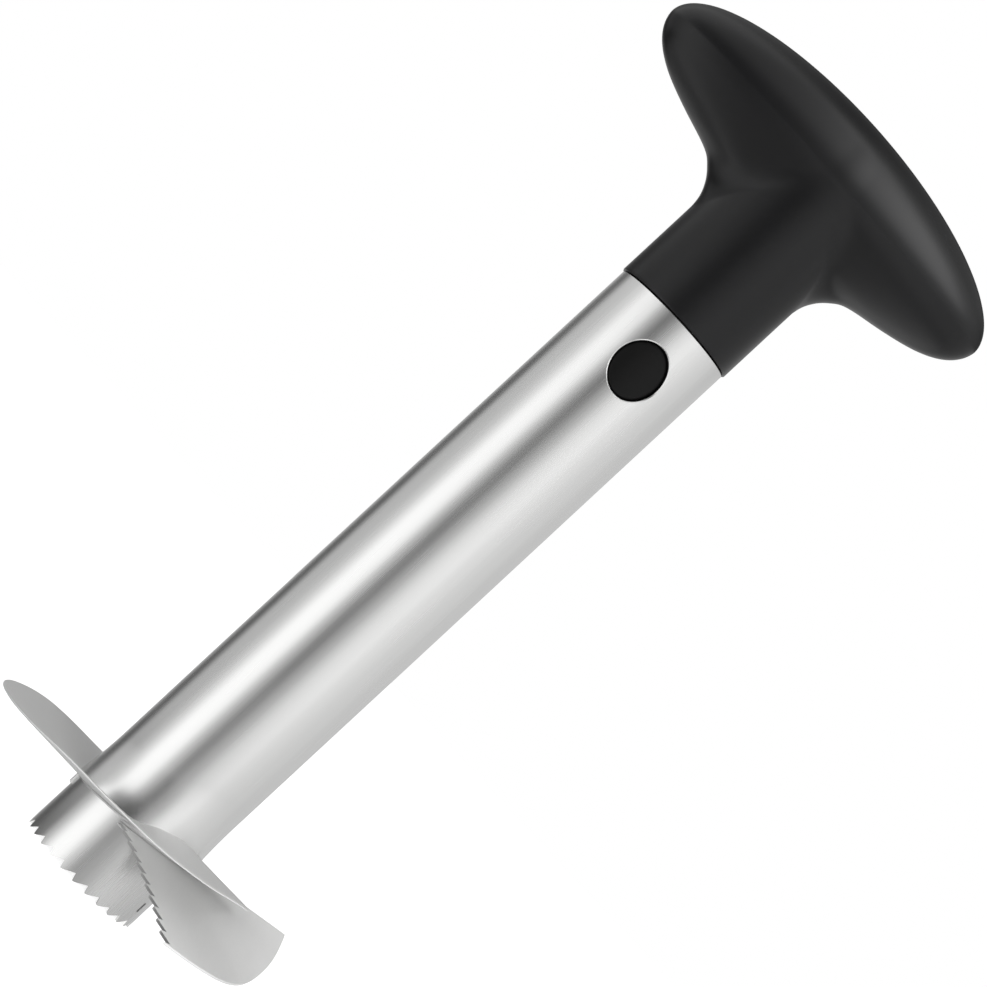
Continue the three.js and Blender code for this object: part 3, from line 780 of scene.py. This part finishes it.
def grip_rings(heights, turns, inset):
    """Level rings of the handle: the neck's circle filleted into the bar's ellipse.

    The ellipse follows the listed shares up to the fullest level. Above that level all of it
    closes over like an ellipse. The fillet is wide below the bar's ends and narrow at the front.
    """
    low, high = bar_low + inset, bar_top - inset
    share = np.clip((heights - low) / (high - low), 0, 1)
    above = np.clip((share - fullest_share) / (1 - fullest_share), 0, 1)
    crown = np.sqrt(np.clip(1 - above**2, 0, 1))
    share = np.minimum(share, fullest_share)
    half_length = (bar_half_length - inset) * crown * eased(bar_length_shares, share)
    half_depth = (bar_half_depth - inset) * crown * eased(bar_depth_shares, share)
    angle = np.arctan2(np.sin(turns), column_crowding * np.cos(turns))
    length, depth = half_length[:, None], half_depth[:, None]
    across = np.hypot(depth * np.cos(angle), length * np.sin(angle))
    bar = length * depth / np.maximum(across, 1e-9)
    neck = ((neck_radius - inset) * crown)[:, None]
    lost = front_blend_loss * np.clip((share - front_loss_start) / front_loss_rise, 0, 1)
    front_blend = neck_front_blend * (1 - lost)[:, None]
    blend = front_blend + (neck_side_blend - front_blend) * np.abs(np.cos(angle)) ** blend_power
    return around(angle, filleted_larger(neck, bar, blend * crown[:, None]), heights[:, None])


def grip_finish():
    """Soft-touch black: a fine even grain, and a satin sheen that varies where hands rub it."""
    made = new_finish("soft_black")
    place = made.place()
    fine = made.grain(place, (1, 1, 1), 5200, detail=2)
    rub = made.grain(place, (1, 1, 1), 26, detail=3)
    colour = made.between(rub, grey(0.003), (0.0045, 0.0045, 0.005, 1))
    return made.surface(
        Base_Color=colour, Roughness=0.27 + rub * 0.05 + fine * 0.04,
        Specular_IOR_Level=0.24, Normal=made.bump(fine, 0.12, 0.01 * MM),
    )


grip_black = grip_finish()
grip_turns = np.linspace(0, 2 * np.pi, grip_columns, endpoint=False)
ease_out = np.sin(np.linspace(0, 0.5 * np.pi, 60)[:-1])
neck_heights = np.linspace(grip_bottom, bar_low, 24)[:-1]
under_heights = np.linspace(bar_low, bar_low + fullest_share * (bar_top - bar_low), 90)[:-1]
crown_base = under_heights[-1]
crown_heights = crown_base + (bar_top - crown_base) * ease_out[1:]
grip_heights = np.concatenate([neck_heights, under_heights, crown_heights])
outer_rings = grip_rings(grip_heights, grip_turns, 0)
# Two rings round off the grip's lower lip
lip_inset = np.array([1.2, 0.4])[:, None, None] * lip_round / neck_radius
lip_rise = np.array([0, 0.25])[:, None, None] * [0, 0, lip_round]
lip_rings = outer_rings[:1] * (1 - lip_inset * [1, 1, 0]) + lip_rise
inside_heights = grip_bottom + (crown_base - grip_bottom) * np.linspace(1, 0, 30)
inner_rings = grip_rings(inside_heights, grip_turns, grip_wall)
first_outer = outer_rings[:1] + [0, 0, lip_round]
grip = loft(
    "grip_form",
    np.concatenate([inner_rings, lip_rings, first_outer, outer_rings[1:]]),
    grip_black, poles=[(0, 0, crown_base + 2 * MM), (0, 0, bar_top)],
)
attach(grip, "handle")
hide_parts("grip_skin")


# Core and screws.
# Under the grip a hard T of black plastic, with two steel screws driven up into it. They keep their
# shape from the frame and only take a finish.
def plastic_finish(name, level, rough, grain_scale, relief, shine=0.5):
    """Moulded plastic: fine spark-eroded grain, with faint flow marks in its sheen.

    Level is its grey, rough its least roughness, relief the grain's depth and shine its specular
    level.
    """
    made = new_finish(name)
    place = made.place()
    fine = made.grain(place, (1, 1, 1), grain_scale, detail=2)
    flow = made.grain(place, (1, 1, 0.3), 60, detail=2)
    colour = made.between(flow, grey(level * 0.85), grey(level * 1.2))
    return made.surface(
        Base_Color=colour, Roughness=rough + flow * 0.08 + fine * 0.05, Specular_IOR_Level=shine,
        Normal=made.bump(fine, relief, 0.01 * MM),
    )


core_black = plastic_finish("core_black", 0.02, 0.42, 3000, 0.15)
screw_steel = steel_finish("screw_steel", 0.5, 0.22, (1, 1, 1), 0.4)
kept = {"handle_core": core_black, "screw_left": screw_steel, "screw_right": screw_steel}
for node, material in kept.items():
    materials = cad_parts[node].data.materials
    materials.clear()
    materials.append(material)


# Latch housing and end cap.
# A moulded plug that slides down inside the tube and carries the buttons in two windows. A cap
# closes its lower end.
housing_radius = 15 * MM
housing_wall = 1.8 * MM
plug_bottom = 147.9 * MM
cap_thickness = 1.6 * MM
cap_lip = 3 * MM
cap_lip_wall = 1.6 * MM
plate_low = 175 * MM
spigot_radius = 13.7 * MM
spigot_top = 188 * MM
gap = 0.3 * MM
chamfer = 0.35 * MM
divider_half = 1 * MM
divider_sink = 0.2 * MM
divider_low = 152.8 * MM
divider_high = 171.8 * MM
window_cut_tip = -10 * MM
window_cut_start = -9 * MM
turned_sides = 128


def turned(name, profile, material):
    """A piece turned on the tube's axis, from a profile of [radius, height] between two poles."""
    profile = np.array(profile)
    turns = np.linspace(0, 2 * np.pi, turned_sides, endpoint=False)
    rings = around(turns[None, :], profile[1:-1, :1], profile[1:-1, 1:])
    poles = [(0, 0, profile[0, 1]), (0, 0, profile[-1, 1])]
    return loft(name, rings, material, poles=poles)


housing_plastic = plastic_finish("housing_plastic", 0.03, 0.46, 2400, 0.2)
housing_low = plug_bottom + cap_thickness + gap
housing_inner = housing_radius - housing_wall
housing = turned("housing_shell", [
    (0, plate_low), (housing_inner, plate_low), (housing_inner, housing_low),
    (housing_radius - chamfer, housing_low), (housing_radius, housing_low + chamfer),
    (housing_radius, tube_top - chamfer), (housing_radius - chamfer, tube_top),
    (spigot_radius, tube_top), (spigot_radius, spigot_top - chamfer),
    (spigot_radius - chamfer, spigot_top), (0, spigot_top),
], housing_plastic)
window_rings = [hole_ring(0, window_cut_start), hole_ring(0, cut_end)]
pierce(housing, "window_cutter", window_rings, window_cut_tip, housing_plastic)
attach(housing, "handle")
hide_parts("latch_housing")

divider_outline = square * [housing_inner + divider_sink, divider_half]
divider_rings = [
    np.column_stack([divider_outline, np.full(4, height)]) for height in (divider_low, divider_high)
]
divider = loft("housing_divider", divider_rings, housing_plastic)
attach(divider, "handle")

lip_outer = housing_inner - gap
lip_inner = lip_outer - cap_lip_wall
cap_high = plug_bottom + cap_thickness
cap = turned("end_cap", [
    (0, plug_bottom), (housing_radius - 2 * chamfer, plug_bottom),
    (housing_radius, plug_bottom + 2 * chamfer), (housing_radius, cap_high),
    (lip_outer, cap_high), (lip_outer, cap_high + cap_lip),
    (lip_inner, cap_high + cap_lip), (lip_inner, cap_high), (0, cap_high),
], housing_plastic)
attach(cap, "handle")
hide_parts("latch_end_cap")


# Buttons.
# Two black plastic buttons, with faces curved like the tube, a rounded edge, and behind the face a
# flange that stops them in their windows and a pin inside the spring.
button_half_width = 6 * MM
button_half_height = 7 * MM
button_edge = 0.55 * MM
flange_margin = 1.5 * MM
flange_outer = 9.3 * MM
flange_inner = 7.9 * MM
pin_radius = 1.6 * MM
pin_end = 5.4 * MM
pin_chamfer = 0.3 * MM
button_sides = 96
button_black = plastic_finish("button_black", 0.003, 0.32, 3600, 0.12, shine=0.12)
button_turns = np.linspace(0, 2 * np.pi, button_sides, endpoint=False)


def button_row(half_width, half_height, sink=None, level=None):
    """One oval ring: sunk below the curved face, or at a level distance from the tube's axis."""
    x = half_width * np.cos(button_turns)
    z = hole_height + half_height * np.sin(button_turns)
    y = np.sqrt(housing_radius**2 - x**2) - sink if level is None else np.full_like(x, level)
    return np.stack([x, -y, z], -1)


face_shares = np.linspace(0.04, 1, 16)
edge_turns = np.linspace(0, 0.5 * np.pi, 7)[1:]
face_half_width = button_half_width - button_edge
face_half_height = button_half_height - button_edge
rows = [
    button_row(share * face_half_width, share * face_half_height, sink=0) for share in face_shares
]
for turn in edge_turns:
    widen, sink = button_edge * math.sin(turn), button_edge * (1 - math.cos(turn))
    rows.append(button_row(face_half_width + widen, face_half_height + widen, sink=sink))
flange_width = button_half_width + flange_margin
flange_height = button_half_height + flange_margin
rows += [
    button_row(button_half_width, button_half_height, level=flange_outer),
    button_row(flange_width, flange_height, level=flange_outer),
    button_row(flange_width, flange_height, level=flange_inner),
    button_row(pin_radius, pin_radius, level=flange_inner),
    button_row(pin_radius, pin_radius, level=pin_end + pin_chamfer),
    button_row(pin_radius - pin_chamfer, pin_radius - pin_chamfer, level=pin_end),
]
button_poles = [(0, -housing_radius, hole_height), (0, -pin_end, hole_height)]
for name, side in (("front", 1), ("rear", -1)):
    button = loft(
        f"{name}_button_form", facing(rows, side), button_black, poles=facing(button_poles, side),
    )
    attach(button, f"{name}_button")
    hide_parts(f"button_{name}")


# Springs.
# Behind each button a small spring of round steel wire.
spring_radius = 2.6 * MM
wire_radius = 0.35 * MM
spring_curls = 4
spring_near = 1.65 * MM
spring_far = 7.25 * MM
steps_per_curl = 40
wire_sides = 12
spring_share = np.linspace(0, 1, spring_curls * steps_per_curl + 1)
coil_turn = spring_share * spring_curls * 2 * np.pi
coil_out = np.stack([np.cos(coil_turn), np.zeros_like(coil_turn), np.sin(coil_turn)], -1)
coil_line = spring_radius * coil_out + [0, 0, hole_height]
coil_line[:, 1] = -(spring_near + (spring_far - spring_near) * spring_share)
wire_turns = np.linspace(0, 2 * np.pi, wire_sides, endpoint=False)[None, :, None]
wire_ring = coil_out[:, None] * np.cos(wire_turns) + np.sin(wire_turns) * [0, 1, 0]
coil = coil_line[:, None] + wire_radius * wire_ring
for name, side in (("front", 1), ("rear", -1)):
    wire = loft(
        f"{name}_spring_wire", facing(coil, side), screw_steel,
        poles=facing(coil_line[[0, -1]], side),
    )
    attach(wire, "handle")
    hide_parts(f"spring_{name}")
    -side * spring_near
    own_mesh(wire)
